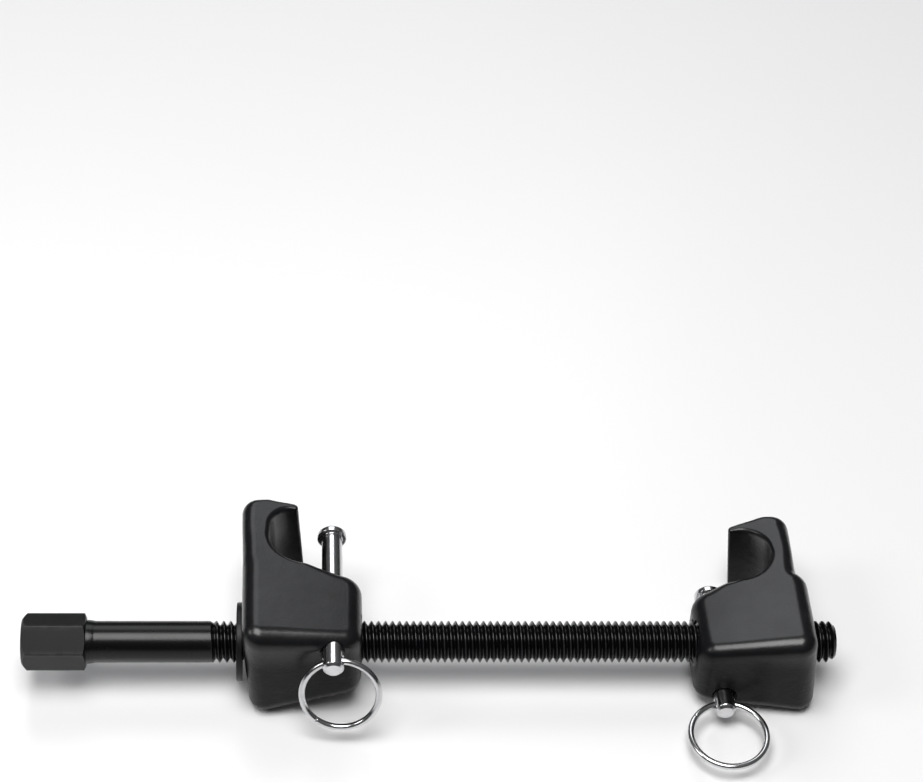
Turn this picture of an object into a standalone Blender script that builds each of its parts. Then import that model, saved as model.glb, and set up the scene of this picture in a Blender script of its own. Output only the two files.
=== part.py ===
# Coil spring compressor: a hex-headed forcing screw that carries two hooked jaws. The sliding jaw is
# plain bored and bears on a thrust washer. The threaded jaw is the nut, so turning the screw draws the
# two hooks together. A lock pin with a pull ring closes the mouth of each hook.
#
# Run with: blender --background --python part.py
# Metres, +Z up. X runs along the screw, from its hex head to its free end, and the hooks point to +Y.
# The origin is the middle of the bounding box's base.

import math

import bmesh
import bpy
from mathutils import Vector

MM = 0.001

# Forcing screw, mm
SCREW_LENGTH = 368.2
THREAD_PITCH = 3.175
THREAD_CREST_RADIUS = 9.45
THREAD_ROOT_RADIUS = 7.55
SHANK_RADIUS = 9.35
HEX_ACROSS_FLATS = 22.4
HEX_LENGTH = 28.6
HEX_CHAMFER = 2.2
HEX_TURN_DEG = 9.0
NECK_LENGTH = 4.0
THREAD_START = 83.3
SCREW_SIDES = 12

# Where the pieces stand along the screw, mm from the hex head's end
SLIDING_JAW_FACE = 99.9
THREADED_JAW_FACE = 358.0
ROD_HEIGHT = 26.4
MIDDLE_Y = 2.5

# Thrust washer, mm
WASHER_OUTER_RADIUS = 17.75
WASHER_INNER_RADIUS = 9.9
WASHER_THICKNESS = 2.6
WASHER_STAND_OFF = 1.45

# Jaw casting, mm. U runs from a jaw's outer face to its inner face, and Y towards the hook
NEAR_WALL_OUTER = 23.3
NEAR_WALL_INNER = 18.2
FAR_WALL_INNER = 20.2
PAD_EDGE = 23.0
LIP_THICKNESS = 3.4
CRADLE_RADIUS = 15.4
CRADLE_CENTRE_Y = 41.2
ARM_LEAN_START = 20.0
ARM_LEAN_END = 34.0
FILLET_STEPS = 3
BORE_RADIUS = 9.78
BORE_SIDES = 24

# Lock pins and pull rings, mm
PIN_RADIUS = 4.75
PIN_HOLE_RADIUS = 5.0
PIN_FROM_ROD = 15.3
PIN_HEAD_RADIUS = 6.7
PIN_HEAD_LENGTH = 3.4
PIN_GROOVE_DEPTH = 0.8
RING_HOLE_RADIUS = 2.45
RING_HOLE_FROM_END = 5.0
RING_RADIUS = 17.2
RING_WIRE_RADIUS = 1.5
RING_SEAT = 0.33

# Ball detent, mm: it sits in a hole from the jaw's inner face to the pin's groove
DETENT_BALL_RADIUS = 1.5
DETENT_HOLE_RADIUS = 1.8
DETENT_PLUG_RADIUS = 1.7
DETENT_PLUG_LENGTH = 1.8
DETENT_PLUG_DEPTH = 0.8
DETENT_SPRING_RADIUS = 1.1
DETENT_WIRE_RADIUS = 0.22
DETENT_SPRING_TURNS = 3

# What differs between the jaws, mm. Side is +1 where the inner face looks to +X and the pin lies above
# the screw, and -1 where the casting is turned half round, so that its pin lies below
JAWS = {
    "sliding_jaw": {
        "face": SLIDING_JAW_FACE,
        "side": 1,
        "top_outer": 28.6,
        "top_inner": 21.4,
        "top_slope": 0.042,
        "bottom_outer": 28.0,
        "bottom_inner": 15.6,
        "length": 52.2,
        "arm_lean": 0.075,
        "body_lean": 0.075,
        "pad_height": 0.2,
        "cradle_floor": 12.7,
        "cradle_mouth": 28.5,
        "lip_end": 25.3,
        "tip_reach": 62.2,
        "pin_from_face": 39.0,
        "head_reach": 52.6,
        "ring_end_reach": 30.6,
        "ring_angle_deg": 72.5,
        "pin_turn_deg": 12.0,
    },
    "threaded_jaw": {
        "face": THREADED_JAW_FACE,
        "side": -1,
        "top_outer": 22.8,
        "top_inner": 11.6,
        "top_slope": -0.040,
        "bottom_outer": 26.86,
        "bottom_inner": 21.4,
        "length": 54.5,
        "arm_lean": 0.11,
        "body_lean": 0.077,
        "pad_height": 4.0,
        "cradle_floor": 14.0,
        "cradle_mouth": 36.6,
        "lip_end": 31.6,
        "tip_reach": 64.7,
        "pin_from_face": 41.0,
        "head_reach": 43.6,
        "ring_end_reach": 29.4,
        "ring_angle_deg": 4.0,
        "pin_turn_deg": 0.0,
    },
}

# Colours, roughness and metallic values
FINISHES = {
    "black_casting": ((0.045, 0.046, 0.050), 0.45, 0.6),
    "black_oxide": ((0.012, 0.012, 0.014), 0.25, 0.9),
    "washer_black": ((0.020, 0.020, 0.022), 0.35, 0.8),
    "bright_zinc": ((0.780, 0.780, 0.790), 0.15, 1.0),
    "spring_steel": ((0.450, 0.450, 0.470), 0.30, 1.0),
}


def clear_scene():
    for obj in list(bpy.data.objects):
        bpy.data.objects.remove(obj, do_unlink=True)


def finish(name):
    material = bpy.data.materials.get(name)
    if material is None:
        colour, roughness, metallic = FINISHES[name]
        material = bpy.data.materials.new(name)
        material.use_nodes = True
        shader = material.node_tree.nodes["Principled BSDF"]
        shader.inputs["Base Color"].default_value = (*colour, 1.0)
        shader.inputs["Roughness"].default_value = roughness
        shader.inputs["Metallic"].default_value = metallic
    return material


def place(x, y, z):
    """The world point that is x mm from the hex head's end along the screw, and y and z mm from its axis."""
    return Vector(((x - SCREW_LENGTH / 2) * MM, (y - MIDDLE_Y) * MM, (z + ROD_HEIGHT) * MM))


def make_object(name, mesh_builder, finish_name, origin, smooth_deg=35.0):
    """Turns a bmesh in world metres into an object whose origin is at the given world point."""
    bmesh.ops.recalc_face_normals(mesh_builder, faces=mesh_builder.faces)
    bmesh.ops.translate(mesh_builder, verts=mesh_builder.verts, vec=-origin)
    mesh = bpy.data.meshes.new(name)
    mesh_builder.to_mesh(mesh)
    mesh_builder.free()
    mesh.shade_smooth()
    mesh.set_sharp_from_angle(angle=math.radians(smooth_deg))
    mesh.materials.append(finish(finish_name))
    obj = bpy.data.objects.new(name, mesh)
    obj.location = origin
    bpy.context.scene.collection.objects.link(obj)
    return obj


def add_loops(mesh_builder, loops, closed_ring=False):
    """Skins a list of equal loops of points. The ends are capped, unless the loops join up in a ring."""
    rows = [[mesh_builder.verts.new(point) for point in loop] for loop in loops]
    pairs = list(zip(rows, rows[1:]))
    if closed_ring:
        pairs.append((rows[-1], rows[0]))
    else:
        mesh_builder.faces.new(rows[0])
        mesh_builder.faces.new(rows[-1])
    count = len(rows[0])
    for first, second in pairs:
        for i in range(count):
            j = (i + 1) % count
            mesh_builder.faces.new((first[i], first[j], second[j], second[i]))


def ring_points(centre, first_axis, second_axis, radius, sides, turn=0.0):
    points = []
    for i in range(sides):
        angle = turn + 2 * math.pi * i / sides
        points.append(centre + (first_axis * math.cos(angle) + second_axis * math.sin(angle)) * radius * MM)
    return points


def add_turned(mesh_builder, profile, start, direction, sides):
    """A turned piece: profile lists (distance along the axis, radius) in mm from the start point."""
    side = Vector((0, 0, 1)) if abs(direction.z) < 0.5 else Vector((1, 0, 0))
    other = direction.cross(side)
    loops = []
    for distance, radius in profile:
        loops.append(ring_points(start + direction * distance * MM, side, other, radius, sides))
    add_loops(mesh_builder, loops)


def cut(obj, cutter_name, start, direction, length, radius, sides):
    """Cuts a round hole with a wire-drawn helper that no render shows."""
    helper = bmesh.new()
    add_turned(helper, [(0, radius), (length, radius)], start, direction, sides)
    cutter = make_object(cutter_name, helper, "black_oxide", start)
    cutter.hide_render = True
    cutter.display_type = "WIRE"
    modifier = obj.modifiers.new(cutter_name, "BOOLEAN")
    modifier.operation = "DIFFERENCE"
    modifier.solver = "EXACT"
    modifier.object = cutter


def rounded_outline(corners):
    """Rounds a polygon. A corner is (u, y, corner radius, edge fillet, steps), and each point (u, y, fillet)."""
    points = []
    count = len(corners)
    for i, (u, y, radius, fillet, steps) in enumerate(corners):
        here = Vector((u, y))
        before = (Vector(corners[i - 1][:2]) - here).normalized()
        after = (Vector(corners[(i + 1) % count][:2]) - here).normalized()
        half = before.angle(after) / 2
        middle = (before + after).normalized()
        centre = here + middle * radius / math.sin(half)
        start = here + before * radius / math.tan(half)
        end = here + after * radius / math.tan(half)
        from_angle = math.atan2(start.y - centre.y, start.x - centre.x)
        turn = math.atan2(end.y - centre.y, end.x - centre.x) - from_angle
        turn = (turn + math.pi) % (2 * math.pi) - math.pi
        for step in range(steps + 1):
            angle = from_angle + turn * step / steps
            points.append((centre.x + radius * math.cos(angle), centre.y + radius * math.sin(angle), fillet))
    return points


def jaw_corners(jaw):
    """The casting seen along Z, counter-clockwise: body, cradle, lip, hook tip and the pad round the bore."""
    cradle_near = CRADLE_CENTRE_Y - CRADLE_RADIUS
    cradle_far = CRADLE_CENTRE_Y + CRADLE_RADIUS
    near_corner = CRADLE_RADIUS - 0.6
    floor = jaw["cradle_floor"]
    pad = jaw["pad_height"]
    length = jaw["length"]
    lip_end = jaw["lip_end"]
    tip_reach = jaw["tip_reach"]
    far_corner = min(near_corner, lip_end - floor - 1.5)
    return [
        (0.0, -NEAR_WALL_OUTER, 8.0, 7.0, 4),
        (length, -NEAR_WALL_INNER, 7.0, 6.0, 4),
        (length, FAR_WALL_INNER, 9.0, 6.0, 4),
        (jaw["cradle_mouth"], cradle_near, 6.0, 4.0, 2),
        (floor, cradle_near, near_corner, 2.0, 6),
        (floor, cradle_far, far_corner, 1.6, 6),
        (lip_end, cradle_far, 0.9, 0.8, 1),
        (lip_end, cradle_far + LIP_THICKNESS, 2.3, 1.7, 2),
        (lip_end / 2, tip_reach + 0.2, 14.0, 3.0, 2),
        (pad - 0.8, tip_reach, 7.0, 6.0, 3),
        (pad, PAD_EDGE + 4.0, 1.5, 6.0, 1),
        (0.0, PAD_EDGE, 8.0, 7.0, 2),
    ]


def lean_at(jaw, u, y):
    """How far the casting leans along X per unit of height: most on the hook's arm, which follows the spring's
    coil, and on the body a little at the outer face and not at all at the inner face."""
    share = min(max((y - ARM_LEAN_START) / (ARM_LEAN_END - ARM_LEAN_START), 0.0), 1.0)
    share = share * share * (3 - 2 * share)
    body = jaw["body_lean"] * (1 - u / jaw["length"])
    return share * jaw["arm_lean"] + (1 - share) * body


def jaw_loops(jaw):
    """The outline at each height, from the rounded bottom edge to the rounded top edge, in world metres."""
    outline = rounded_outline(jaw_corners(jaw))
    count = len(outline)
    normals = []
    for i in range(count):
        before = Vector(outline[i - 1][:2])
        after = Vector(outline[(i + 1) % count][:2])
        along = (after - before).normalized()
        normals.append(Vector((along.y, -along.x)))
    side = jaw["side"]
    loops = []
    for is_top in (False, True):
        for step in range(FILLET_STEPS + 1):
            angle = math.pi / 2 * (step if is_top else FILLET_STEPS - step) / FILLET_STEPS
            loop = []
            for (u, y, fillet), normal in zip(outline, normals):
                inset_u = u - normal.x * fillet * (1 - math.cos(angle))
                inset_y = y - normal.y * fillet * (1 - math.cos(angle))
                sunk = fillet * (1 - math.sin(angle))
                lean = side * lean_at(jaw, u, y)
                if is_top:
                    fall = (jaw["top_inner"] - jaw["top_outer"]) / jaw["length"]
                    flat = jaw["top_outer"] + fall * inset_u + jaw["top_slope"] * inset_y
                    height = flat / (1 + fall * lean) - sunk
                else:
                    rise = (jaw["bottom_outer"] - jaw["bottom_inner"]) / jaw["length"]
                    flat = -jaw["bottom_outer"] + rise * inset_u
                    height = flat / (1 + rise * lean) + sunk
                leaned = inset_u - lean * height
                loop.append(place(jaw["face"] + side * leaned, inset_y, height))
            loops.append(loop)
    return loops


def pin_axis(jaw):
    """Where the pin's axis runs, as x from the hex head's end and z from the screw's axis."""
    return jaw["face"] + jaw["side"] * jaw["pin_from_face"], jaw["side"] * PIN_FROM_ROD


def cross_axis(jaw):
    """The direction of the pin's cross hole: along X, turned about the pin's own axis."""
    turn = math.radians(jaw["pin_turn_deg"])
    return Vector((math.cos(turn), 0, math.sin(turn)))


def make_jaw(name, jaw):
    mesh_builder = bmesh.new()
    add_loops(mesh_builder, jaw_loops(jaw))
    casting = make_object(name, mesh_builder, "black_casting", place(jaw["face"], 0, 0))
    side = jaw["side"]
    along = Vector((side, 0, 0))
    cut(
        casting, name + "_bore_cutter", place(jaw["face"] - side * 5, 0, 0), along,
        jaw["length"] + 10, BORE_RADIUS, BORE_SIDES,
    )
    x, z = pin_axis(jaw)
    reach = NEAR_WALL_OUTER + 10
    cut(casting, name + "_pin_cutter", place(x, -reach, z), Vector((0, 1, 0)), 2 * reach, PIN_HOLE_RADIUS, 16)
    cut(
        casting, name + "_detent_cutter", place(x + side * 2, 0, z), along,
        jaw["length"] - jaw["pin_from_face"] + 5, DETENT_HOLE_RADIUS, 12,
    )


def make_pin(name, jaw):
    """A headed pin on the hook side, with a bevelled end and a cross hole for its pull ring."""
    x, z = pin_axis(jaw)
    head = jaw["head_reach"]
    tail = jaw["ring_end_reach"]
    mesh_builder = bmesh.new()
    groove = PIN_RADIUS - PIN_GROOVE_DEPTH
    profile = [
        (0.0, PIN_RADIUS - 1.6),
        (1.2, PIN_RADIUS),
        (tail - 2.0, PIN_RADIUS),
        (tail - 1.0, groove),
        (tail + 1.0, groove),
        (tail + 2.0, PIN_RADIUS),
        (tail + head - PIN_HEAD_LENGTH, PIN_RADIUS),
        (tail + head - PIN_HEAD_LENGTH, PIN_HEAD_RADIUS - 0.4),
        (tail + head - PIN_HEAD_LENGTH + 0.5, PIN_HEAD_RADIUS),
        (tail + head - 1.2, PIN_HEAD_RADIUS),
        (tail + head, PIN_HEAD_RADIUS - 1.6),
    ]
    add_turned(mesh_builder, profile, place(x, -tail, z), Vector((0, 1, 0)), 16)
    pin = make_object(name, mesh_builder, "bright_zinc", place(x, 0, z))
    hole_y = -tail + RING_HOLE_FROM_END
    across = cross_axis(jaw)
    start = place(x, hole_y, z) - across * 10 * MM
    cut(pin, name + "_ring_cutter", start, across, 20, RING_HOLE_RADIUS, 12)


def make_ring(name, jaw):
    """A plain wire ring through the pin's cross hole, stored as it hangs or lies, with its origin in the hole."""
    x, z = pin_axis(jaw)
    pivot = place(x, -jaw["ring_end_reach"] + RING_HOLE_FROM_END, z)
    angle = math.radians(jaw["ring_angle_deg"])
    across = cross_axis(jaw)
    below = across.cross(Vector((0, 1, 0)))
    outward = Vector((0, -1, 0)) * math.cos(angle) - below * math.sin(angle)
    normal = outward.cross(across)
    centre = pivot + outward * (RING_RADIUS - RING_SEAT) * MM
    loops = []
    segments = 36
    for i in range(segments):
        turn = 2 * math.pi * i / segments
        spoke = across * math.cos(turn) + outward * math.sin(turn)
        loops.append(ring_points(centre + spoke * RING_RADIUS * MM, spoke, normal, RING_WIRE_RADIUS, 8))
    mesh_builder = bmesh.new()
    add_loops(mesh_builder, loops, closed_ring=True)
    make_object(name, mesh_builder, "bright_zinc", pivot, smooth_deg=60.0)


def make_detent(jaw_name, jaw):
    """The ball that rides on the pin, pressed back clear of the groove, its spring and the plug behind them."""
    x, z = pin_axis(jaw)
    side = jaw["side"]
    along = Vector((side, 0, 0))
    gap = 0.05
    ball_from_pin = PIN_RADIUS + DETENT_BALL_RADIUS + gap
    ball_centre = place(x + side * ball_from_pin, 0, z)
    ball = bmesh.new()
    bmesh.ops.create_icosphere(ball, subdivisions=2, radius=DETENT_BALL_RADIUS * MM)
    bmesh.ops.translate(ball, verts=ball.verts, vec=ball_centre)
    make_object(jaw_name + "_detent_ball", ball, "spring_steel", ball_centre)

    plug_outer = jaw["length"] - jaw["pin_from_face"] - DETENT_PLUG_DEPTH
    plug_inner = plug_outer - DETENT_PLUG_LENGTH
    plug = bmesh.new()
    plug_start = place(x + side * plug_inner, 0, z)
    profile = [
        (0.0, DETENT_PLUG_RADIUS - 0.4),
        (0.4, DETENT_PLUG_RADIUS),
        (DETENT_PLUG_LENGTH - 0.3, DETENT_PLUG_RADIUS),
        (DETENT_PLUG_LENGTH, DETENT_PLUG_RADIUS - 0.3),
    ]
    add_turned(plug, profile, plug_start, along, 12)
    make_object(jaw_name + "_detent_plug", plug, "black_oxide", plug_start)

    wire_gap = DETENT_WIRE_RADIUS + 0.1
    spring_start = ball_from_pin + DETENT_BALL_RADIUS + wire_gap
    spring_end = plug_inner - wire_gap
    steps = 10 * DETENT_SPRING_TURNS
    up = Vector((0, 0, 1))
    across = along.cross(up)
    loops = []
    for i in range(steps + 1):
        turn = 2 * math.pi * i / 10
        spoke = up * math.cos(turn) + across * math.sin(turn)
        distance = spring_start + (spring_end - spring_start) * i / steps
        middle = place(x + side * distance, 0, z) + spoke * DETENT_SPRING_RADIUS * MM
        loops.append(ring_points(middle, spoke, along, DETENT_WIRE_RADIUS, 5))
    spring = bmesh.new()
    add_loops(spring, loops)
    make_object(jaw_name + "_detent_spring", spring, "spring_steel", ball_centre, smooth_deg=60.0)


def screw_ring(x, radius):
    centre = place(x, 0, 0)
    return ring_points(centre, Vector((0, 1, 0)), Vector((0, 0, 1)), radius, SCREW_SIDES, math.radians(HEX_TURN_DEG))


def hex_ring(x, across_flats):
    """The hexagon as a loop with a point at each corner and one in the middle of each side."""
    corner = across_flats / 2 / math.cos(math.pi / 6)
    points = []
    for i, point in enumerate(screw_ring(x, across_flats / 2)):
        centre = place(x, 0, 0)
        points.append(centre + (point - centre) * (corner / (across_flats / 2) if i % 2 else 1.0))
    return points


def thread_columns():
    """Columns of points along the screw, each shifted by its share of the pitch, so their rows climb as a
    right-hand helix. Rows are crests and roots in turn, and points beyond the thread's ends are drawn in."""
    start = THREAD_START + 1.2
    end = SCREW_LENGTH
    rows = 2 * math.ceil((end - start) / THREAD_PITCH) + 8
    columns = []
    for i in range(SCREW_SIDES):
        angle = math.radians(HEX_TURN_DEG) + 2 * math.pi * i / SCREW_SIDES
        outward = Vector((0, math.cos(angle), math.sin(angle)))
        column = []
        for k in range(rows):
            x = start + THREAD_PITCH * (i / SCREW_SIDES + k / 2 - 2)
            radius = THREAD_ROOT_RADIUS if k % 2 else THREAD_CREST_RADIUS
            taper = max(0.0, 1.0 - (end - x) / 2.4)
            radius = min(radius, THREAD_CREST_RADIUS - taper * (THREAD_CREST_RADIUS - THREAD_ROOT_RADIUS + 0.2))
            if x <= start or x >= end:
                radius = THREAD_ROOT_RADIUS - 0.2
            column.append(place(min(max(x, start), end), 0, 0) + outward * radius * MM)
        columns.append(column)
    return columns


def make_forcing_screw():
    mesh_builder = bmesh.new()
    stations = [
        hex_ring(0.0, HEX_ACROSS_FLATS - 2 * HEX_CHAMFER),
        hex_ring(HEX_CHAMFER, HEX_ACROSS_FLATS),
        hex_ring(HEX_LENGTH - 0.8, HEX_ACROSS_FLATS),
        hex_ring(HEX_LENGTH, HEX_ACROSS_FLATS - 1.6),
        screw_ring(HEX_LENGTH + NECK_LENGTH / 2, SHANK_RADIUS + 0.5),
        screw_ring(HEX_LENGTH + NECK_LENGTH, SHANK_RADIUS),
        screw_ring(THREAD_START, SHANK_RADIUS),
    ]
    rows = [[mesh_builder.verts.new(point) for point in loop] for loop in stations]
    columns = [[mesh_builder.verts.new(point) for point in column] for column in thread_columns()]
    rows.append([column[0] for column in columns])
    mesh_builder.faces.new(rows[0])
    for first, second in zip(rows, rows[1:]):
        for i in range(SCREW_SIDES):
            j = (i + 1) % SCREW_SIDES
            mesh_builder.faces.new((first[i], first[j], second[j], second[i]))
    for i, column in enumerate(columns):
        last = i == SCREW_SIDES - 1
        following = columns[0] if last else columns[i + 1]
        shift = 2 if last else 0
        for k in range(len(column) - 1 - shift):
            corners = (column[k], following[k + shift], following[k + shift + 1], column[k + 1])
            mesh_builder.faces.new(corners)
    mesh_builder.faces.new([column[-1] for column in columns])
    bmesh.ops.remove_doubles(mesh_builder, verts=mesh_builder.verts, dist=1e-6)
    bmesh.ops.dissolve_degenerate(mesh_builder, edges=mesh_builder.edges, dist=1e-6)
    make_object("forcing_screw", mesh_builder, "black_oxide", place(0, 0, 0))


def make_washer():
    """The washer bears on the sliding jaw's outer face, which leans, so it touches near its upper edge."""
    inner_face = SLIDING_JAW_FACE - WASHER_STAND_OFF
    loops = []
    sides = 32
    edge = 0.4
    section = [
        (0.0, WASHER_INNER_RADIUS),
        (0.0, WASHER_OUTER_RADIUS - edge),
        (edge, WASHER_OUTER_RADIUS),
        (WASHER_THICKNESS, WASHER_OUTER_RADIUS),
        (WASHER_THICKNESS, WASHER_INNER_RADIUS),
    ]
    for distance, radius in section:
        centre = place(inner_face - distance, 0, 0)
        loops.append(ring_points(centre, Vector((0, 1, 0)), Vector((0, 0, 1)), radius, sides))
    mesh_builder = bmesh.new()
    add_loops(mesh_builder, loops, closed_ring=True)
    make_object("thrust_washer", mesh_builder, "washer_black", place(inner_face, 0, 0))


clear_scene()
make_forcing_screw()
make_washer()
for jaw_name, jaw_values in JAWS.items():
    make_jaw(jaw_name, jaw_values)
    make_pin(jaw_name + "_lock_pin", jaw_values)
    make_ring(jaw_name + "_pull_ring", jaw_values)
    make_detent(jaw_name, jaw_values)
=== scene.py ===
import math

import bmesh
import bpy
from mathutils import Matrix, Vector


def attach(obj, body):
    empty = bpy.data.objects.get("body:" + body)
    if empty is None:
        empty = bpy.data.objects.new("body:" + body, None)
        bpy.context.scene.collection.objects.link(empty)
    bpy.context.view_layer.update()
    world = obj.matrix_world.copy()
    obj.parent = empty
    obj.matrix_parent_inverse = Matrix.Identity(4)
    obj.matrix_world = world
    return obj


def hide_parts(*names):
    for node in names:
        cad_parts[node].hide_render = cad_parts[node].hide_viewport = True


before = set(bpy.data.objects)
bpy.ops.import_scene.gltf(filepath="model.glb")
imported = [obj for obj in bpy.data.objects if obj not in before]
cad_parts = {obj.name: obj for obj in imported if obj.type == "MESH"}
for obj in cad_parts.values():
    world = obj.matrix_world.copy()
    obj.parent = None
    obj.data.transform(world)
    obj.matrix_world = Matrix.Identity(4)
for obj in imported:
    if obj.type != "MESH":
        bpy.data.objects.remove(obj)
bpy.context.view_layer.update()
print("stage: frame loaded")

mm = 0.001
layout = {  # mm: x from the hex head's end, y and z from the screw's axis
    "screwLength": 368.2,
    "middleY": 2.5,
    "rodHeight": 26.4,
    "pinFromRod": 15.3,
    "pinHole": 5.0,
    "bore": 9.78,
}
alongX = Vector((1, 0, 0))
alongY = Vector((0, 1, 0))
alongZ = Vector((0, 0, 1))


def at(x, y, z):
    world = (x - layout["screwLength"] / 2, y - layout["middleY"], z + layout["rodHeight"])
    return Vector(world) * mm


# Shader maths: a socket that adds its own Math nodes when it is added, multiplied or compared
class Signal:
    def __init__(self, tree, socket):
        self.tree = tree
        self.socket = socket

    def node(self, kind, settings=None, inputs=None, output=0):
        made = self.tree.nodes.new(kind)
        for name, value in (settings or {}).items():
            setattr(made, name, value)
        for key, value in (inputs or {}).items():
            if isinstance(value, Signal):
                self.tree.links.new(value.socket, made.inputs[key])
            else:
                made.inputs[key].default_value = value
        return Signal(self.tree, made.outputs[output])

    def maths(self, operation, first, second=0.0):
        return self.node("ShaderNodeMath", {"operation": operation}, {0: first, 1: second})

    def __add__(self, other):
        return self.maths("ADD", self, other)

    def __radd__(self, other):
        return self.maths("ADD", other, self)

    def __sub__(self, other):
        return self.maths("SUBTRACT", self, other)

    def __rsub__(self, other):
        return self.maths("SUBTRACT", other, self)

    def __mul__(self, other):
        return self.maths("MULTIPLY", self, other)

    def __rmul__(self, other):
        return self.maths("MULTIPLY", other, self)

    def __pow__(self, other):
        return self.maths("POWER", self, other)

    def wave(self):
        return self.maths("SINE", self)

    def step(self, low, high):  # 0 below low, 1 above high, and smooth between
        ends = {"Value": self, "From Min": low, "From Max": high}
        return self.node("ShaderNodeMapRange", {"interpolation_type": "SMOOTHSTEP"}, ends)

    def noise(self, scale, detail=2.0, roughness=0.5):
        values = {"Vector": self, "Scale": scale, "Detail": detail, "Roughness": roughness}
        return self.node("ShaderNodeTexNoise", {}, values)

    def cells(self, scale):
        return self.node("ShaderNodeTexVoronoi", {}, {"Vector": self, "Scale": scale})

    def stretched(self, scale):  # the same vector with each axis scaled on its own
        return self.node("ShaderNodeVectorMath", {"operation": "MULTIPLY"}, {0: self, 1: scale})

    def axis(self, name):
        return self.node("ShaderNodeSeparateXYZ", {}, {"Vector": self}, name)

    def fromLine(self, centre):  # the distance from a line along X through the centre
        offset = self.node("ShaderNodeVectorMath", {"operation": "SUBTRACT"}, {0: self, 1: centre})
        return (offset.axis("Y") ** 2.0 + offset.axis("Z") ** 2.0) ** 0.5

    def colours(self, low, high):  # a colour that runs from low to high as this goes from 0 to 1
        inputs = {0: self, 6: (*low, 1.0), 7: (*high, 1.0)}
        return self.node("ShaderNodeMix", {"data_type": "RGBA"}, inputs, 2)

    def tint(self, below, above):  # mixes two colour signals
        inputs = {0: self, 6: below, 7: above}
        return self.node("ShaderNodeMix", {"data_type": "RGBA"}, inputs, 2)

    def bump(self, depth, strength=1.0, under=None):  # under is a coarser bump that this one adds to
        inputs = {"Height": self, "Distance": depth, "Strength": strength}
        if under is not None:
            inputs["Normal"] = under
        return self.node("ShaderNodeBump", {}, inputs)


def newFinish(name, constants):
    material = bpy.data.materials.new(name)
    material.use_nodes = True
    tree = material.node_tree
    shader = tree.nodes["Principled BSDF"]
    for socket, value in constants.items():
        shader.inputs[socket].default_value = value
    coordinates = tree.nodes.new("ShaderNodeTexCoord")
    return material, shader, Signal(tree, coordinates.outputs["Object"])


def feed(shader, links):
    for socket, signal in links.items():
        signal.tree.links.new(signal.socket, shader.inputs[socket])


castLook = {
    "specular": 0.16,
    "coatRoughness": 0.24,
    "dark": (0.0035, 0.0037, 0.0044),
    "light": (0.0065, 0.0068, 0.0078),
    "scuff": (0.040, 0.041, 0.044),
    "mottleScale": 85.0,
    "mottleEdge": (0.30, 0.72),
    "scuffScale": 263.5,
    "scuffEdge": (0.66, 0.80),
    "scuffGrain": (0.45, 0.62),  # scuffs show on the grain's high spots
    "scuffShare": 0.30,
    "scuffPolish": 0.06,
    "grainScale": 950.0,
    "grainShare": 0.75,
    "grainDepth": 0.00013,
    "pitScale": 522.5,
    "pitEdge": (0.05, 0.35),
    "swellScale": 230.0,
    "swellDepth": 0.00032,
    "swellStrength": 0.55,
    "roughest": 0.38,
    "smoothest": 0.25,
    "coat": 0.55,
    "coatHeight": (0.030, 0.045),  # world z: the faces that hands reach are polished
    "coatLeast": 0.85,
    "coatSpread": 0.3,
}


def castCoating():
    constants = {
        "Metallic": 0.0,
        "Specular IOR Level": castLook["specular"],
        "Coat Roughness": castLook["coatRoughness"],
    }
    material, shader, here = newFinish("castCoating", constants)
    mottle = here.noise(castLook["mottleScale"], 5.0, 0.62)
    grain = here.noise(castLook["grainScale"], 4.0, 0.65)
    swell = here.noise(castLook["swellScale"], 3.0, 0.5)
    pits = here.cells(castLook["pitScale"]).step(*castLook["pitEdge"])
    highSpots = grain.step(*castLook["scuffGrain"])
    rubbed = here.noise(castLook["scuffScale"], 7.0, 0.75).step(*castLook["scuffEdge"]) * highSpots
    paint = mottle.step(*castLook["mottleEdge"]).colours(castLook["dark"], castLook["light"])
    scuffed = rubbed.colours(castLook["dark"], castLook["scuff"])
    colour = (castLook["scuffShare"] * rubbed).tint(paint, scuffed)
    spread = castLook["roughest"] - castLook["smoothest"]
    roughness = castLook["smoothest"] + spread * grain - castLook["scuffPolish"] * rubbed
    polish = here.axis("Z").step(*castLook["coatHeight"])
    coat = castLook["coat"] * polish * (castLook["coatLeast"] + castLook["coatSpread"] * mottle)
    coarse = swell.bump(castLook["swellDepth"], castLook["swellStrength"])
    height = castLook["grainShare"] * grain + (1 - castLook["grainShare"]) * pits
    fine = height.bump(castLook["grainDepth"], 1.0, coarse)
    feed(shader, {"Base Color": colour, "Roughness": roughness, "Coat Weight": coat, "Normal": fine})
    return material


screwLook = {
    "specular": 0.28,
    "oxide": (0.0025, 0.0025, 0.0030),
    "rubbed": (0.035, 0.035, 0.038),
    "axis": (0.0, -layout["middleY"] * mm, layout["rodHeight"] * mm),
    "thread": (-0.1002, -0.0990),  # world x where the thread begins
    "hexEnd": (-0.1558, -0.1550),  # world x where the hex head ends
    "crest": (0.00905, 0.00946),  # m from the axis
    "corner": (0.0118, 0.0128),  # m from the axis, near the hexagon's corners
    "crestPatches": (0.25, 0.65),
    "cornerPatches": (0.3, 0.6),
    "crestWear": 0.55,
    "cornerWear": 0.5,
    "turningLines": 14000.0,  # radians per metre
    "rolledScale": (60.0, 900.0, 900.0),
    "smoothest": 0.13,
    "depth": 0.00004,
}


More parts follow.
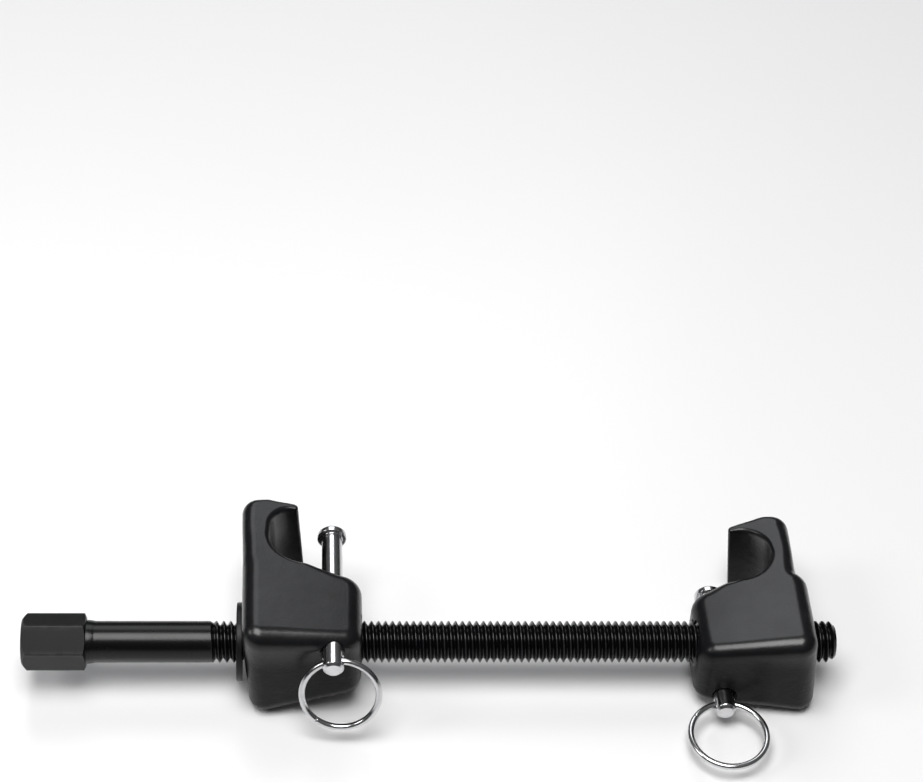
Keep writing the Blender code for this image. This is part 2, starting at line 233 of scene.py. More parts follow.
def blackOxide():
    constants = {"Metallic": 0.0, "Specular IOR Level": screwLook["specular"]}
    material, shader, here = newFinish("blackOxide", constants)
    radius = here.fromLine(screwLook["axis"])
    x = here.axis("X")
    cloud = here.noise(140.0, 4.0, 0.6)
    fine = here.noise(1700.0, 3.0, 0.6)
    threaded = x.step(*screwLook["thread"])
    onHead = 1.0 - x.step(*screwLook["hexEnd"])
    crest = radius.step(*screwLook["crest"]) * threaded * cloud.step(*screwLook["crestPatches"])
    corner = radius.step(*screwLook["corner"]) * onHead * cloud.step(*screwLook["cornerPatches"])
    worn = screwLook["crestWear"] * crest + screwLook["cornerWear"] * corner
    colour = worn.colours(screwLook["oxide"], screwLook["rubbed"])
    turning = (x * screwLook["turningLines"]).wave() * (1.0 - threaded) * (1.0 - onHead)
    rolled = here.stretched(screwLook["rolledScale"]).noise(1.0, 3.0, 0.6)
    roughness = screwLook["smoothest"] + 0.12 * cloud + 0.13 * onHead + 0.07 * (1.0 - threaded) - 0.05 * crest
    height = 0.35 * fine + 0.05 * turning + 0.25 * rolled * onHead
    feed(shader, {"Base Color": colour, "Roughness": roughness, "Normal": height.bump(screwLook["depth"])})
    return material


dullLook = {
    "specular": 0.22,
    "oxide": (0.006, 0.006, 0.007),
    "scored": (0.032, 0.032, 0.034),
    "turningLines": 9000.0,  # radians per metre
    "lineWaver": 2.0,
    "lineEdge": (0.86, 1.0),
    "linePatches": (0.4, 0.7),
    "hazeEdge": (0.5, 0.9),
    "lineShare": 0.7,
    "depth": 0.00003,
}


def dullOxide(name, centre):  # the washer and the plugs: turned rings round an axis along X
    material, shader, here = newFinish(name, {"Metallic": 0.0, "Specular IOR Level": dullLook["specular"]})
    cloud = here.noise(160.0, 5.0, 0.65)
    fine = here.noise(1500.0, 3.0, 0.6)
    rings = (here.fromLine(centre) * dullLook["turningLines"] + dullLook["lineWaver"] * cloud).wave()
    scored = rings.step(*dullLook["lineEdge"]) * cloud.step(*dullLook["linePatches"])
    hazed = cloud.step(*dullLook["hazeEdge"])
    worn = dullLook["lineShare"] * scored + (1 - dullLook["lineShare"]) * hazed
    height = 0.5 * fine + 0.35 * rings
    links = {
        "Base Color": worn.colours(dullLook["oxide"], dullLook["scored"]),
        "Roughness": 0.30 + 0.20 * cloud,
        "Normal": height.bump(dullLook["depth"]),
    }
    feed(shader, links)
    return material


zincLook = {
    "bright": (0.66, 0.66, 0.67),
    "hazed": (0.50, 0.51, 0.53),
    "hazeEdge": (0.42, 0.78),
    "hazeShare": 0.75,
    "drawnScale": (900.0, 35.0, 900.0),
    "barLines": 0.7,
    "wireLines": 0.1,
    "depth": 0.000022,
}


def brightZinc(name, lineShare):  # lineShare is how deep the fine lines along Y are drawn
    material, shader, here = newFinish(name, {"Metallic": 1.0})
    cloud = here.noise(180.0, 5.0, 0.6)
    fine = here.noise(2200.0, 2.0, 0.5)
    lines = here.stretched(zincLook["drawnScale"]).noise(1.0, 4.0, 0.65)
    haze = cloud.step(*zincLook["hazeEdge"])
    height = 0.4 * fine + lineShare * lines
    links = {
        "Base Color": (zincLook["hazeShare"] * haze).colours(zincLook["bright"], zincLook["hazed"]),
        "Roughness": 0.13 + 0.11 * haze + 0.05 * fine,
        "Normal": height.bump(zincLook["depth"]),
    }
    feed(shader, links)
    return material


springLook = {
    "bright": (0.46, 0.46, 0.48),
    "dim": (0.30, 0.29, 0.29),
    "dimEdge": (0.35, 0.8),
    "depth": 0.00002,
}


def springSteel():
    material, shader, here = newFinish("springSteel", {"Metallic": 1.0})
    cloud = here.noise(600.0, 4.0, 0.6)
    colour = cloud.step(*springLook["dimEdge"]).colours(springLook["bright"], springLook["dim"])
    bump = cloud.bump(springLook["depth"])
    feed(shader, {"Base Color": colour, "Roughness": 0.18 + 0.15 * cloud, "Normal": bump})
    return material


finishes = {
    "casting": castCoating(),
    "screw": blackOxide(),
    "washer": dullOxide("washerOxide", screwLook["axis"]),
    "pin": brightZinc("zincBar", zincLook["barLines"]),
    "ring": brightZinc("zincWire", zincLook["wireLines"]),
    "spring": springSteel(),
}
print("stage: finishes made")


# Mesh tools
def ringOf(centre, first, second, radius, count, turn=0.0):
    angles = [turn + 2 * math.pi * i / count for i in range(count)]
    return [centre + (first * math.cos(a) + second * math.sin(a)) * radius * mm for a in angles]


def skin(builder, loops, joined=False):
    rows = [[builder.verts.new(point) for point in loop] for loop in loops]
    pairs = list(zip(rows, rows[1:]))
    if joined:
        pairs.append((rows[-1], rows[0]))
    else:
        builder.faces.new(rows[0])
        builder.faces.new(rows[-1])
    for first, second in pairs:
        for i in range(len(first)):
            j = (i + 1) % len(first)
            builder.faces.new((first[i], first[j], second[j], second[i]))


def turned(builder, profile, start, direction, count=72):
    # profile lists (distance along the axis, radius) in mm
    side = alongZ if abs(direction.z) < 0.5 else alongX
    other = direction.cross(side).normalized()
    side = other.cross(direction)
    skin(builder, [ringOf(start + direction * d * mm, side, other, r, count) for d, r in profile])


def quarter(fromPoint, corner, toPoint, steps=5):  # a rounded corner in a turned profile
    points = []
    for i in range(steps + 1):
        t = i / steps
        a, b, c = (1 - t) ** 2, 2 * t * (1 - t), t * t
        points.append(tuple(a * p + b * q + c * r for p, q, r in zip(fromPoint, corner, toPoint)))
    return points


def solid(name, builder):
    bmesh.ops.recalc_face_normals(builder, faces=builder.faces)
    mesh = bpy.data.meshes.new(name)
    builder.to_mesh(mesh)
    builder.free()
    made = bpy.data.objects.new(name, mesh)
    bpy.context.scene.collection.objects.link(made)
    return made


def bake(piece):  # applies the modifiers
    graph = bpy.context.evaluated_depsgraph_get()
    mesh = bpy.data.meshes.new_from_object(piece.evaluated_get(graph))
    piece.modifiers.clear()
    old = piece.data
    piece.data = mesh
    bpy.data.meshes.remove(old)


def combine(piece, others, operation):
    for other in others:
        modifier = piece.modifiers.new(other.name, "BOOLEAN")
        modifier.operation = operation
        modifier.solver = "EXACT"
        modifier.object = other
    bake(piece)
    for other in others:
        bpy.data.objects.remove(other, do_unlink=True)


def roundCutter(name, profile, start, direction, count=64):
    builder = bmesh.new()
    turned(builder, profile, start, direction, count)
    return solid(name, builder)


def publish(piece, material, body, node, sharpAngle=38.0):
    mesh = piece.data
    mesh.materials.clear()
    mesh.materials.append(material)
    for face in mesh.polygons:
        face.material_index = 0
    mesh.shade_smooth()
    mesh.set_sharp_from_angle(angle=math.radians(sharpAngle))
    weighted = piece.modifiers.new("evenShading", "WEIGHTED_NORMAL")
    weighted.keep_sharp = True
    weighted.weight = 50
    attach(piece, body)
    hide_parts(node)
    print("stage:", piece.name, len(mesh.polygons), "faces")


# Jaws: u runs from the outer face to the inner face, y towards the hook, in mm
jawCommon = {
    "nearWallOuter": 23.3,
    "nearWallInner": 18.2,
    "farWallInner": 20.2,
    "padEdge": 23.0,
    "lipThickness": 3.4,
    "cradleRadius": 15.4,
    "cradleY": 41.2,
    "leanStart": 20.0,
    "leanEnd": 34.0,
    "filletSteps": 9,
    "filletGrowth": 0.3,
    "edgeStep": 1.6,
    "cornerStep": 7.0,  # degrees between points on a rounded corner
    "boreChamfer": 1.1,
    "pinChamfer": 0.7,
    "detentHole": 1.8,
    "cutterPast": 4,  # how far the bore's cutter runs past the casting
}
jaws = {
    "slidingJaw": {
        "node": "sliding_jaw",
        "face": 99.9,
        "side": 1,
        "topOuter": 28.6,
        "topInner": 21.4,
        "topSlope": 0.042,
        "bottomOuter": 28.0,
        "bottomInner": 15.6,
        "length": 52.2,
        "armLean": 0.075,
        "bodyLean": 0.075,
        "padHeight": 0.2,
        "cradleFloor": 12.7,
        "cradleMouth": 28.5,
        "lipEnd": 25.3,
        "tipReach": 62.2,
        "pinFromFace": 39.0,
        "headReach": 52.6,
        "ringEndReach": 30.6,
        "ringAngle": 72.5,
        "pinTurn": 12.0,
        "ringSeam": 140.0,
    },
    "threadedJaw": {
        "node": "threaded_jaw",
        "face": 358.0,
        "side": -1,
        "topOuter": 22.8,
        "topInner": 11.6,
        "topSlope": -0.040,
        "bottomOuter": 26.86,
        "bottomInner": 21.4,
        "length": 54.5,
        "armLean": 0.11,
        "bodyLean": 0.077,
        "padHeight": 4.0,
        "cradleFloor": 14.0,
        "cradleMouth": 36.6,
        "lipEnd": 31.6,
        "tipReach": 64.7,
        "pinFromFace": 41.0,
        "headReach": 43.6,
        "ringEndReach": 29.4,
        "ringAngle": 4.0,
        "pinTurn": 0.0,
        "ringSeam": 215.0,
    },
}


def jawCorners(jaw):  # (u, y, corner radius, edge fillet), counter-clockwise
    near = jawCommon["cradleY"] - jawCommon["cradleRadius"]
    far = jawCommon["cradleY"] + jawCommon["cradleRadius"]
    floor, pad, lip = jaw["cradleFloor"], jaw["padHeight"], jaw["lipEnd"]
    inCradle = jawCommon["cradleRadius"] - 0.6
    underLip = min(inCradle, lip - floor - 1.5)
    return [
        (0.0, -jawCommon["nearWallOuter"], 8.6, 8.2),
        (jaw["length"], -jawCommon["nearWallInner"], 8.0, 6.8),
        (jaw["length"], jawCommon["farWallInner"], 9.5, 6.4),
        (jaw["cradleMouth"], near, 6.0, 4.2),
        (floor, near, inCradle, 2.6),
        (floor, far, underLip, 2.2),
        (lip, far, 1.1, 1.0),
        (lip, far + jawCommon["lipThickness"], 2.2, 1.9),
        (lip / 2, jaw["tipReach"] + 0.2, 14.0, 3.0),
        (pad - 0.8, jaw["tipReach"], 7.4, 6.8),
        (pad, jawCommon["padEdge"] + 4.0, 2.5, 6.6),
        (0.0, jawCommon["padEdge"], 8.3, 8.0),
    ]


def jawOutline(jaw):
    corners = jawCorners(jaw)
    count = len(corners)
    points = []
    for i, (u, y, radius, fillet) in enumerate(corners):
        here = Vector((u, y))
        before = (Vector(corners[i - 1][:2]) - here).normalized()
        after = (Vector(corners[(i + 1) % count][:2]) - here).normalized()
        half = before.angle(after) / 2
        centre = here + (before + after).normalized() * radius / math.sin(half)
        start = here + before * radius / math.tan(half)
        end = here + after * radius / math.tan(half)
        fromAngle = math.atan2(start.y - centre.y, start.x - centre.x)
        turn = math.atan2(end.y - centre.y, end.x - centre.x) - fromAngle
        turn = (turn + math.pi) % (2 * math.pi) - math.pi
        steps = max(3, math.ceil(abs(math.degrees(turn)) / jawCommon["cornerStep"]))
        for step in range(steps + 1):
            angle = fromAngle + turn * step / steps
            points.append((centre.x + radius * math.cos(angle), centre.y + radius * math.sin(angle), fillet))
    fine = []
    for i, point in enumerate(points):  # the straight stretches get points of their own
        following = points[(i + 1) % len(points)]
        pieces = max(1, round(math.dist(point[:2], following[:2]) / jawCommon["edgeStep"]))
        for k in range(pieces):
            t = k / pieces
            eased = t * t * (3 - 2 * t)
            u, y = (p + (q - p) * t for p, q in zip(point[:2], following[:2]))
            fine.append((u, y, point[2] + (following[2] - point[2]) * eased))
    growth = jawCommon["filletGrowth"]  # how fast a fillet may grow along the edge
    smoothed = []
    for u, y, fillet in fine:
        reach = [other[2] + growth * math.dist((u, y), other[:2]) for other in fine]
        smoothed.append((u, y, min(reach)))
    return smoothed


def leanAt(jaw, u, y):
    share = min(max((y - jawCommon["leanStart"]) / (jawCommon["leanEnd"] - jawCommon["leanStart"]), 0.0), 1.0)
    share = share * share * (3 - 2 * share)
    return share * jaw["armLean"] + (1 - share) * jaw["bodyLean"] * (1 - u / jaw["length"])


def jawLoops(jaw):
    outline = jawOutline(jaw)
    count = len(outline)
    normals = []
    for i in range(count):
        along = (Vector(outline[(i + 1) % count][:2]) - Vector(outline[i - 1][:2])).normalized()
        normals.append(Vector((along.y, -along.x)))
    fall = (jaw["topInner"] - jaw["topOuter"]) / jaw["length"]
    rise = (jaw["bottomOuter"] - jaw["bottomInner"]) / jaw["length"]
    steps = jawCommon["filletSteps"]
    loops = []
    for isTop in (False, True):
        for step in range(steps + 1):
            angle = math.pi / 2 * (step if isTop else steps - step) / steps
            loop = []
            for (u, y, fillet), normal in zip(outline, normals):
                inset = fillet * (1 - math.cos(angle))
                sunk = fillet * (1 - math.sin(angle))
                inU, inY = u - normal.x * inset, y - normal.y * inset
                lean = jaw["side"] * leanAt(jaw, u, y)
                if isTop:
                    flat = jaw["topOuter"] + fall * inU + jaw["topSlope"] * inY
                    height = flat / (1 + fall * lean) - sunk
                else:
                    height = (-jaw["bottomOuter"] + rise * inU) / (1 + rise * lean) + sunk
                loop.append(at(jaw["face"] + jaw["side"] * (inU - lean * height), inY, height))
            loops.append(loop)
    return loops


def wallY(jaw, u, isNear):  # where the near or far wall stands at u
    if isNear:
        outer, inner = jawCommon["nearWallOuter"], jawCommon["nearWallInner"]
        return -outer + (outer - inner) * u / jaw["length"]
    start = jawCommon["cradleY"] - jawCommon["cradleRadius"]
    share = (u - jaw["cradleMouth"]) / (jaw["length"] - jaw["cradleMouth"])
    return start + (jawCommon["farWallInner"] - start) * max(share, 0.0)


def pinPlace(jaw):
    return jaw["face"] + jaw["side"] * jaw["pinFromFace"], jaw["side"] * layout["pinFromRod"]


def makeJaw(name, jaw):
    builder = bmesh.new()
    skin(builder, jawLoops(jaw))
    casting = solid(name, builder)
    side = jaw["side"]
    inward = alongX * side
    chamfer = jawCommon["boreChamfer"]
    bore = layout["bore"]
    length = jaw["length"]
    past = jawCommon["cutterPast"]
    mouth = bore + chamfer + past
    boreProfile = [(-past, mouth), (chamfer, bore), (length - chamfer, bore), (length + past, mouth)]
    x, z = pinPlace(jaw)
    hole = layout["pinHole"]
    edge = jawCommon["pinChamfer"]
    near = wallY(jaw, jaw["pinFromFace"], True)
    far = wallY(jaw, jaw["pinFromFace"], False)
    pinProfile = [
        (near - 12, hole + edge + 3),
        (near - 3, hole + edge + 3),
        (near + edge, hole),
        (far - edge, hole),
        (far + 3, hole + edge + 3),
        (far + 12, hole + edge + 3),
    ]
    depth = length - jaw["pinFromFace"]
    small = jawCommon["detentHole"]
    detentProfile = [(2, small), (depth - 0.5, small), (depth + 2, small + 2.5)]
    cutters = [
        roundCutter("boreCutter", boreProfile, at(jaw["face"], 0, 0), inward, 96),
        roundCutter("pinCutter", pinProfile, at(x, 0, z), alongY, 64),
        roundCutter("detentCutter", detentProfile, at(x, 0, z), inward, 40),
    ]
    combine(casting, cutters, "DIFFERENCE")
    publish(casting, finishes["casting"], jaw["node"] + "_body", jaw["node"])


# Lock pins
pinLook = {
    "radius": 4.75,
    "headRadius": 6.7,
    "headLength": 3.4,
    "groove": 0.8,
    "holeRadius": 2.45,
    "holeFromEnd": 5.0,
    "holeChamfer": 0.45,
}


def crossAxis(jaw):
    turn = math.radians(jaw["pinTurn"])
    return Vector((math.cos(turn), 0, math.sin(turn)))


def makePin(name, jaw):
    radius, head, groove = pinLook["radius"], pinLook["headRadius"], pinLook["groove"]
    tail = jaw["ringEndReach"]
    length = tail + jaw["headReach"]
    under = length - pinLook["headLength"]
    profile = [(0.0, 0.4), (0.0, radius - 2.0)]
    profile += quarter((0.02, radius - 1.7), (0.02, radius - 1.35), (0.25, radius - 1.1), 3)
    profile += quarter((1.05, radius - 0.25), (1.3, radius), (1.65, radius), 3)
    profile.append((tail - 2.2, radius))
    for i in range(9):  # the ball's groove
        t = i / 8
        profile.append((tail - 2.0 + 4.0 * t, radius - groove * math.sin(math.pi * t) ** 0.7))
    profile += [(tail + 2.2, radius), (under - 0.5, radius)]
    profile += quarter((under - 0.4, radius), (under, radius), (under, radius + 0.4), 4)
    profile += quarter((under, head - 0.5), (under, head), (under + 0.5, head), 4)
    profile += quarter((length - 1.5, head), (length - 0.35, head - 0.1), (length - 0.25, head - 1.5), 6)
    profile += [(length - 0.1, head - 3.0), (length, 0.5)]
    x, z = pinPlace(jaw)
    builder = bmesh.new()
    turned(builder, profile, at(x, -tail, z), alongY, 72)
    pin = solid(name, builder)
    hole, flare = pinLook["holeRadius"], pinLook["holeChamfer"]
    cutterProfile = [
        (-8, hole + flare + 3.6),
        (-radius + 0.3 + flare, hole),
        (radius - 0.3 - flare, hole),
        (8, hole + flare + 3.6),
    ]
    cutterProfile = [(d, min(r, hole + flare + 0.6)) for d, r in cutterProfile]
    start = at(x, -tail + pinLook["holeFromEnd"], z)
    combine(pin, [roundCutter("crossCutter", cutterProfile, start, crossAxis(jaw), 40)], "DIFFERENCE")
    publish(pin, finishes["pin"], jaw["node"] + "_pin_body", jaw["node"] + "_lock_pin")


# Pull rings: one turn of wire whose ends meet in a butt joint
ringLook = {
    "radius": 17.2,
    "wire": 1.5,
    "seat": 0.33,
    "seam": 0.10,
    "segments": 150,
    "sides": 24,
}


def makeRing(name, jaw):
    x, z = pinPlace(jaw)
    pivot = at(x, -jaw["ringEndReach"] + pinLook["holeFromEnd"], z)
    angle = math.radians(jaw["ringAngle"])
    across = crossAxis(jaw)
    outward = -alongY * math.cos(angle) - across.cross(alongY) * math.sin(angle)
    normal = outward.cross(across)
    radius, wire = ringLook["radius"], ringLook["wire"]
    centre = pivot + outward * (radius - ringLook["seat"]) * mm
    gap = ringLook["seam"] / radius / 2
    seam = math.radians(jaw["ringSeam"])
    loops = []
    stations = []
    rounding = [(0.0, 0.80), (0.10, 0.90), (0.25, 0.97), (0.45, 1.0)]  # (mm from the end, share of the wire)
    for distance, share in rounding:
        stations.append((gap + distance / radius, share))
    for i in range(1, ringLook["segments"]):
        stations.append((2 * math.pi * i / ringLook["segments"], 1.0))
    for distance, share in reversed(rounding):
        stations.append((2 * math.pi - gap - distance / radius, share))
    for turn, share in stations:
        spoke = across * math.cos(seam + turn) + outward * math.sin(seam + turn)
        loops.append(ringOf(centre + spoke * radius * mm, spoke, normal, wire * share, ringLook["sides"]))
    builder = bmesh.new()
    skin(builder, loops)
    ring = solid(name, builder)
    node = jaw["node"]
    publish(ring, finishes["ring"], node + "_ring_body", node + "_pull_ring", 60.0)


# Ball detents inside the jaws
detentLook = {
    "ball": 1.5,
    "gap": 0.05,
    "plugRadius": 1.7,
    "plugLength": 1.8,
    "plugDepth": 0.8,
    "socket": 0.85,
    "socketDepth": 1.0,
    "flutes": 5,
    "springPerTurn": 28,
    "springGap": 0.1,
    "springRadius": 1.1,
    "springWire": 0.22,
    "springTurns": 3,
}


def makeDetent(name, jaw):
    x, z = pinPlace(jaw)
    side = jaw["side"]
    inward = alongX * side
    ball = detentLook["ball"]
    fromPin = pinLook["radius"] + ball + detentLook["gap"]
    profile = []
    for i in range(25):
        angle = math.radians(4.0 + 172.0 * i / 24)
        profile.append((-ball * math.cos(angle), ball * math.sin(angle)))
    builder = bmesh.new()
    turned(builder, profile, at(x + side * fromPin, 0, z), inward, 40)
    detent = jaw["node"] + "_detent"
    body = jaw["node"] + "_body"
    ballPiece = solid(name + "Ball", builder)
    publish(ballPiece, finishes["spring"], body, detent + "_ball", 60.0)

    plug = detentLook["plugRadius"]
    length = detentLook["plugLength"]
    plugInner = jaw["length"] - jaw["pinFromFace"] - detentLook["plugDepth"] - length
    start = at(x + side * plugInner, 0, z)
    profile = [(0.0, 0.3), (0.0, plug - 0.4)] + quarter((0.1, plug - 0.3), (0.2, plug), (0.5, plug), 4)
    for i in range(detentLook["flutes"]):  # turned flutes that stand in for the plug's fine thread
        base = 0.50 + 0.95 * i / detentLook["flutes"]
        profile += [(base, plug), (base + 0.05, plug - 0.08), (base + 0.11, plug - 0.08), (base + 0.16, plug)]
    profile += quarter((length - 0.3, plug), (length, plug), (length, plug - 0.3), 4) + [(length, 0.3)]
    builder = bmesh.new()
    turned(builder, profile, start, inward, 48)
    plugPiece = solid(name + "Plug", builder)
    socket = detentLook["socket"]
    socketProfile = [(length - detentLook["socketDepth"], socket), (length + 1, socket)]
    combine(plugPiece, [roundCutter("socketCutter", socketProfile, start, inward, 6)], "DIFFERENCE")
    publish(plugPiece, finishes["plug" + name], body, detent + "_plug", 30.0)

    wire = detentLook["springWire"]
    first = fromPin + ball + wire + detentLook["springGap"]
    last = plugInner - wire - detentLook["springGap"]
    across = inward.cross(alongZ)
    perTurn = detentLook["springPerTurn"]
    steps = perTurn * detentLook["springTurns"]
    loops = []
    for i in range(steps + 1):
        turn = 2 * math.pi * i / perTurn
        spoke = alongZ * math.cos(turn) + across * math.sin(turn)
        along = first + (last - first) * i / steps
        middle = at(x + side * along, 0, z) + spoke * detentLook["springRadius"] * mm
        loops.append(ringOf(middle, spoke, inward, wire, 12))
    builder = bmesh.new()
    skin(builder, loops)
    springPiece = solid(name + "Spring", builder)
    publish(springPiece, finishes["spring"], body, detent + "_spring", 60.0)


for jawName, jaw in jaws.items():
    plugX, plugZ = pinPlace(jaw)
    finishes["plug" + jawName] = dullOxide(jawName + "PlugOxide", tuple(at(plugX, 0, plugZ)))
    makeJaw(jawName, jaw)
    makePin(jawName + "LockPin", jaw)
    makeRing(jawName + "PullRing", jaw)
    makeDetent(jawName, jaw)


# Forcing screw: a hex head, a plain shank and a rolled right-hand thread
screwParts = {
    "hexFlats": 22.4,
    "hexLength": 28.6,
    "hexTurn": 9.0,
    "hexFrontFace": 10.3,
    "hexChamfer": 2.3,
    "hexBackChamfer": 1.0,
    "hexEdge": 0.6,
    "shank": 9.35,
    "neckLength": 4.0,
    "threadStart": 83.3,
    "pitch": 3.175,
    "crest": 9.45,
    "runIn": 4.2,
    "endChamfer": 2.4,
    "sides": 60,
    "profile": [  # (share of the pitch, height from root 0 to crest 1)
        (0.00, 0.000),
        (0.055, 0.018),
        (0.105, 0.090),
        (0.400, 0.895),
        (0.445, 0.980),
        (0.500, 1.000),
        (0.555, 0.980),
        (0.600, 0.895),
        (0.895, 0.090),
        (0.945, 0.018),
    ],
    "threadDepth": 1.9,
}


def threadRadius(x, height):
    start, end = screwParts["threadStart"], layout["screwLength"]
    crest, depth = screwParts["crest"], screwParts["threadDepth"]
    radius = crest - depth * (1 - height)
    share = min(max((x - start) / screwParts["runIn"], 0.0), 1.0)
    share = share * share * (3 - 2 * share)
    radius = screwParts["shank"] + (radius - screwParts["shank"]) * share
    toEnd = max(0.0, 1.0 - (end - x) / screwParts["endChamfer"])
    return min(radius, crest - toEnd * (depth + 0.2))


def addThread(builder):
    start, end = screwParts["threadStart"], layout["screwLength"]
    profile, pitch, sides = screwParts["profile"], screwParts["pitch"], screwParts["sides"]
    turns = math.ceil((end - start) / pitch) + 3
    columns = []
    for i in range(sides):
        angle = math.radians(screwParts["hexTurn"]) + 2 * math.pi * i / sides
        outward = alongY * math.cos(angle) + alongZ * math.sin(angle)
        column = []
        for k in range(turns):
            for share, height in profile:
                x = start + pitch * (i / sides + k + share - 1.5)
                x = min(max(x, start), end)
                column.append(builder.verts.new(at(x, 0, 0) + outward * threadRadius(x, height) * mm))
        columns.append(column)
    rows = len(columns[0])
    for i, column in enumerate(columns):
        last = i == sides - 1
        following = columns[0] if last else columns[i + 1]
        shift = len(profile) if last else 0
        for k in range(rows - 1 - shift):
            quad = (column[k], following[k + shift], following[k + shift + 1], column[k + 1])
            builder.faces.new(quad)
    builder.faces.new([column[-1] for column in columns])


def makeScrew():
    turn = math.radians(screwParts["hexTurn"])
    flats, length = screwParts["hexFlats"], screwParts["hexLength"]
    corner = flats / 2 / math.cos(math.pi / 6)
    edge = screwParts["hexEdge"]
    fromAxis = corner - edge / math.cos(math.pi / 6)
    outline = []  # (across, up) of a hexagon with rounded corners
    for i in range(6):
        middle = turn + math.pi / 6 + i * math.pi / 3
        for k in range(5):
            angle = middle + math.pi / 3 * (k / 4 - 0.5)
            across = fromAxis * math.cos(middle) + edge * math.cos(angle)
            outline.append((across, fromAxis * math.sin(middle) + edge * math.sin(angle)))
    builder = bmesh.new()
    skin(builder, [[at(x, y, z) for y, z in outline] for x in (0.0, length)])
    hexHead = solid("hexHead", builder)
    front, back = screwParts["hexChamfer"], screwParts["hexBackChamfer"]
    face = screwParts["hexFrontFace"]
    envelope = quarter((-0.05, face - 0.35), (-0.05, face), (0.2, face + 0.25), 4)
    envelope += [(front, corner + 0.15), (length - back, corner + 0.15), (length + 0.05, flats / 2 - 0.5)]
    combine(hexHead, [roundCutter("hexEnvelope", envelope, at(0, 0, 0), alongX, 120)], "INTERSECT")
    shank, neck, start = screwParts["shank"], screwParts["neckLength"], screwParts["threadStart"]
    profile = [(length - 1.0, shank + 0.5), (length + 0.2, shank + 0.5)]
    neckEnd = length + neck
    profile += quarter((length + 0.6, shank + 0.5), (length + neck * 0.6, shank + 0.45), (neckEnd, shank), 6)
    profile += [(start - 2.0, shank), (start, shank)]
    sides = screwParts["sides"]
    builder = bmesh.new()
    outlines = [ringOf(at(x, 0, 0), alongY, alongZ, radius, sides, turn) for x, radius in profile]
    skin(builder, outlines)
    combine(hexHead, [solid("shank", builder)], "UNION")
    builder = bmesh.new()
    builder.from_mesh(hexHead.data)
    startX = at(start, 0, 0).x
    caps = [face for face in builder.faces if all(abs(v.co.x - startX) < 1e-6 for v in face.verts)]
    bmesh.ops.delete(builder, geom=caps, context="FACES_ONLY")
    addThread(builder)
    bmesh.ops.remove_doubles(builder, verts=builder.verts, dist=2e-6)
    bmesh.ops.dissolve_degenerate(builder, edges=builder.edges, dist=1e-7)
    bpy.data.objects.remove(hexHead, do_unlink=True)
    screw = solid("forcingScrew", builder)
    publish(screw, finishes["screw"], "screw_body", "forcing_screw", 34.0)


makeScrew()

# Thrust washer: pressed from plate, so one rim is rolled over and the other is sharp
washer = {
    "face": 98.45,
    "outer": 17.75,
    "inner": 9.9,
    "thickness": 2.6,
    "rolled": 0.7,
    "sharp": 0.2,
    "sides": 120,
}


def makeWasher():
    outer, inner, thick = washer["outer"], washer["inner"], washer["thickness"]
    rolled, sharp = washer["rolled"], washer["sharp"]
    section = quarter((sharp, inner), (0.0, inner), (0.0, inner + sharp), 3)
    section += quarter((0.0, outer - sharp), (0.0, outer), (sharp, outer), 3)
    section += quarter((thick - rolled, outer), (thick, outer), (thick, outer - rolled), 7)
    section += quarter((thick, inner + rolled), (thick, inner), (thick - rolled, inner), 5)
    loops = [ringOf(at(washer["face"] - d, 0, 0), alongY, alongZ, r, washer["sides"]) for d, r in section]
    builder = bmesh.new()
    skin(builder, loops, True)
    piece = solid("thrustWasher", builder)
    publish(piece, finishes["washer"], "washer_body", "thrust_washer")


makeWasher()


# Studio: pale floor, soft light and camera
studio = {
    "floorSize": 8.0,
    "floorDrop": 0.0001,
    "floorColour": (0.90, 0.90, 0.905),
    "floorShade": (0.875, 0.875, 0.885),
    "skyTop": (1.0, 1.0, 1.0),
    "skyEdge": (0.20, 0.205, 0.215),
    "skyStrength": 0.12,
    "lights": {  # place, aim, size, power, colour
        "overheadSoftbox": ((-0.2, -0.4, 1.9), (0.0, 0.0, 0.0), 1.1, 36.0, (1.0, 0.99, 0.98)),
        "backSoftbox": ((-0.1, 1.3, 1.45), (0.0, 0.0, 0.02), 1.0, 7.0, (0.97, 0.985, 1.0)),
        "sideSoftbox": ((-1.5, -0.3, 1.3), (0.0, 0.0, 0.02), 0.6, 6.0, (1.0, 1.0, 1.0)),
    },
}


def makeFloor():
    builder = bmesh.new()
    half = studio["floorSize"] / 2
    corners = [(-half, -half, 0), (half, -half, 0), (half, half, 0), (-half, half, 0)]
    builder.faces.new([builder.verts.new(corner) for corner in corners])
    floor = solid("studioFloor", builder)
    material, shader, here = newFinish("paleFloor", {"Roughness": 0.24, "Specular IOR Level": 0.30})
    cloud = here.noise(3.0, 3.0, 0.5)
    feed(shader, {"Base Color": cloud.colours(studio["floorShade"], studio["floorColour"])})
    floor.data.materials.append(material)
    floor.location.z = -studio["floorDrop"]


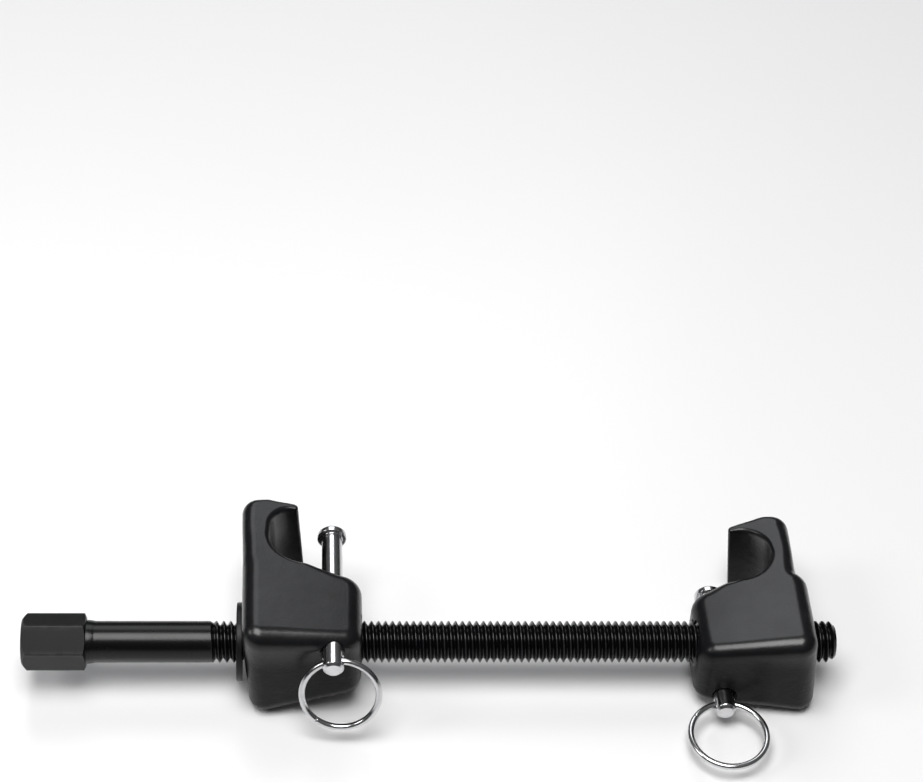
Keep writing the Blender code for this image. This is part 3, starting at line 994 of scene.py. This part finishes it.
def makeLights():
    world = bpy.data.worlds.new("studioSky")
    bpy.context.scene.world = world
    world.use_nodes = True
    background = world.node_tree.nodes["Background"]
    direction = Signal(world.node_tree, world.node_tree.nodes.new("ShaderNodeTexCoord").outputs["Generated"])
    sky = direction.axis("Z").step(-0.05, 0.75).colours(studio["skyEdge"], studio["skyTop"])
    world.node_tree.links.new(sky.socket, background.inputs["Color"])
    background.inputs["Strength"].default_value = studio["skyStrength"]
    for name, (place, aim, size, power, colour) in studio["lights"].items():
        data = bpy.data.lights.new(name, "AREA")
        data.shape = "SQUARE"
        data.size = size
        data.energy = power
        data.color = colour
        light = bpy.data.objects.new(name, data)
        light.location = place
        light.rotation_euler = (Vector(aim) - Vector(place)).to_track_quat("-Z", "Y").to_euler()
        bpy.context.scene.collection.objects.link(light)
    bpy.context.scene.view_settings.view_transform = "Standard"


viewpoint = {
    "elevation": 42.82,
    "yaw": 5.2,
    "roll": 3.9,
    "distance": 1.17967,
    "lens": 101.408,
    "sensor": 36.0,
    "aim": (0.01267, 0.07503, 0.10962),
}


def makeCamera():
    elevation, yaw, roll = (math.radians(viewpoint[key]) for key in ("elevation", "yaw", "roll"))
    spin = Matrix.Rotation(-yaw, 3, "Z")
    forward = spin @ Vector((0, math.cos(elevation), -math.sin(elevation)))
    upward = spin @ Vector((0, math.sin(elevation), math.cos(elevation)))
    right = spin @ alongX
    rolledRight = right * math.cos(roll) + upward * math.sin(roll)
    rolledUp = upward * math.cos(roll) - right * math.sin(roll)
    data = bpy.data.cameras.new("studioCamera")
    data.sensor_width = viewpoint["sensor"]
    data.sensor_fit = "HORIZONTAL"
    data.lens = viewpoint["lens"]
    camera = bpy.data.objects.new("studioCamera", data)
    columns = Matrix((rolledRight, rolledUp, -forward)).transposed()
    place = Vector(viewpoint["aim"]) - forward * viewpoint["distance"]
    camera.matrix_world = Matrix.Translation(place) @ columns.to_4x4()
    bpy.context.scene.collection.objects.link(camera)
    bpy.context.scene.camera = camera


makeFloor()
makeLights()
makeCamera()
print("stage: studio ready")
